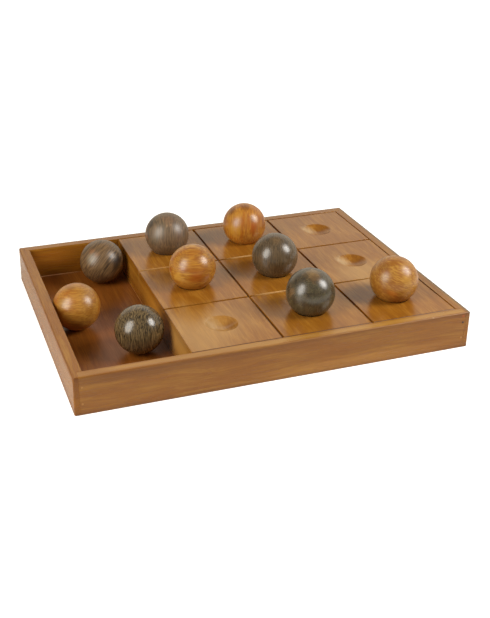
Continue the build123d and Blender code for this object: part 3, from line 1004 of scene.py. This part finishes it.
# %% The four rails
tray_length, tray_width = (2 * abs(v) for v in (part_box("left_rail")[0][0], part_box("front_rail")[0][1]))
rail_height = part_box("front_rail")[1][2]
LONG, SIDE = long_rail_outline(tray_length, tray_width), side_rail_outline(tray_length, tray_width)
RAILS = {  # outline, mirror, grain, seed, middle and shine
    "front_rail": (LONG, (1, 1), X, 11.0, (0, -0.11, 0.01), 0.5),
    "back_rail": (LONG, (1, -1), X, 12.0, (0, 0.11, 0.01), 0.5),
    "left_rail": (SIDE, (-1, 1), Y, 13.0, (-0.15, 0, 0.01), 0.38),
    "right_rail": (SIDE, (1, 1), Y, 14.0, (0.15, 0, 0.01), 0.5),
}
RAIL_MARKS = {
    "left_rail": [((-2.6, -114, 14), 13, 1.2, 0.5, (112, 64, 20))],
    "front_rail": [
        ((-75, -4, 15.5), 5.0, 190, 0.5, (126, 76, 20)),
        # Painted light: a paler line along the top of the front rail.
        ((30, 0, 20), 4.4, 400, 0.4, (204, 156, 80)),
        ((-138, 0, 20), 6.0, 22, 0.6, (142, 88, 24)),
        ((-60, 0, 20), 4.4, 60, 0.35, (140, 90, 34)),
        ((60, -4, -6), 8.0, 120, 0.35, (196, 140, 66)),
        ((-110, -4, 15), 4.0, 50, 0.4, (116, 70, 20)),
        ((147, -4, 17.5), 1.3, 1.6, 0.7, (196, 92, 20)),
        ((121, -3.4, 19.6), 0.8, 1.4, 0.5, (230, 200, 150)),
    ],
    "right_rail": [((2.2, 0, 20), 2.6, 400, 0.8, (110, 90, 62))],
    "back_rail": [((0, 3.2, 20), 2.4, 400, 0.6, (116, 92, 64)),
                  ((-132, -4, 9), 11, 34, 0.3, (190, 116, 40)),
                  # Painted highlight: a thin light line on the back rail where the floor meets it in the
                  # well.
                  ((-128, -4, -6.4), 0.7, 34, 0.9, (240, 190, 140))],
}
tray_half = (tray_length / 2, tray_width / 2, rail_height / 2)
TRAY_BOX = dark_edges((0, 0, rail_height / 2), tray_half, (1.1, 0.9, 4.5), 0.8)
for node_name, (outline, mirror, grain, seed, middle, shine) in RAILS.items():
    piece = make_rail(node_name + "_bar", outline, rail_height, mirror)
    marks = [mark(*row) for row in RAIL_MARKS[node_name]]
    material = finished_wood(node_name + " wood", middle, grain, UP, seed, RAIL, marks, box=TRAY_BOX,
                             shine=shine)
    place_piece(piece, node_name, "tray", material)

# %% [markdown]
# Two brads at each corner hold the long rails to the side rails. Their heads are filled and stained over,
# and only the upper one at the front right has gone dark. A brad is a profile turned round its own line: a
# low dome, a head, a shank and a tip.

# %% Brads
HEAD_RADIUS, SHANK_RADIUS, BRAD_LENGTH, DOME = 0.9 * MM, 0.6 * MM, 20 * MM, 0.08 * MM
BRAD_PROFILE = ((0.0, -DOME), (0.45 * MM, -0.8 * DOME), (0.8 * MM, -0.3 * DOME), (HEAD_RADIUS, 0.1 * MM),
                (HEAD_RADIUS, 0.6 * MM), (SHANK_RADIUS, 0.65 * MM), (SHANK_RADIUS, 18.5 * MM),
                (0.15 * MM, BRAD_LENGTH), (0.0, BRAD_LENGTH))
BRAD_SPOKES = 20
BRAD_HEIGHTS = (9 * MM, 22 * MM)
UPPER_RIGHT_BRAD = Vector((147, -114, 22)) * MM
TARNISH, TARNISH_SIZE, TARNISH_STRENGTH, TARNISH_SEED = (30, 22, 14), (0.0004, 0.0004), 0.25, 3.0
DARK_REACH, CLOUD_RANGE, CLOUD_ROUGHNESS = 4 * MM, (0.3, 0.7), 0.3


def make_brads():
    """Eight brads: the profile's radius turned about a line along y, starting at each outer face."""
    profile = np.array(BRAD_PROFILE)
    turn = np.arange(BRAD_SPOKES) * 2 * np.pi / BRAD_SPOKES
    away, deep = profile[:, 0], profile[:, 1]
    x = away[:, None] * np.cos(turn)
    z = away[:, None] * np.sin(turn)
    y = np.broadcast_to(deep[:, None], x.shape)
    across = tray_length / 2 - TONGUE - (THICKNESS - TONGUE) / 2
    patches = []
    for side in (-1, 1):
        for outside in (-1, 1):
            for height in BRAD_HEIGHTS:
                place = np.array([side * across, outside * tray_width / 2, height])
                brad = np.stack([x, -outside * y, z], -1).reshape(-1, 3) + place
                patches.append((brad, grid_faces(len(profile), BRAD_SPOKES, wrap=True)))
    return closed_mesh("brads", *join(patches), weighted=False)


def small_metal(name, base, roughness, metallic, dark_place=(0, 0, 0)):
    """Bare steel, or with metallic 0 a filled head: small clouds of tarnish, and dark round dark_place."""
    material, tree, shader = start_finish(name)
    place = add(tree, "TexCoord").outputs["Object"]
    cloud = noise(tree, stretched(tree, place, *TARNISH_SIZE), TARNISH_SEED, detail=3.0)
    spot = {"Vector": place, "Place": dark_place, "Size": DARK_REACH, "Length": DARK_REACH}
    dark = add(tree, "Group", spot, node_tree=blot_group).outputs[0]
    tarnish = calc(tree, "MAXIMUM", calc(tree, "MULTIPLY", cloud, TARNISH_STRENGTH), dark)
    rough = remap(tree, cloud, *CLOUD_RANGE, roughness, roughness + CLOUD_ROUGHNESS)
    shown = blend(tree, tarnish, colour(*base), colour(*TARNISH))
    fill(tree, shader, {"Base Color": shown, "Roughness": rough, "Metallic": metallic})
    return material


filled_brad = small_metal("stained and filled brad", (178, 124, 58), roughness=0.4, metallic=0.0,
                          dark_place=UPPER_RIGHT_BRAD)
place_piece(make_brads(), "corner_brads", "tray", filled_brad)

# %% [markdown]
# The floor panel and the pins that hold it keep the engineering model's own shapes, since a flat panel in a
# rabbet and small flush heads are all that there is. They get their finish through their material slots.

# %% Floor panel and pins
FLOOR_WOOD = wood_kind(RAIL, ground_colour=(160, 98, 36), ring_colour=(120, 66, 20),
                       fibre_colour=(128, 72, 22), streak_colour=(142, 80, 26), pore_colour=(70, 36, 10),
                       blush_colour=(144, 78, 26))
KEPT = {
    "floor_panel": finished_wood("floor wood", (0, 0, 0), Y, UP, 16.0, FLOOR_WOOD, roughness=0.32,
                                 shine=0.28),
    "floor_pins": small_metal("pin steel", (150, 148, 144), roughness=0.35, metallic=1.0),
}
for node_name, material in KEPT.items():
    for slot in bpy.data.objects[node_name].material_slots:
        slot.material = material
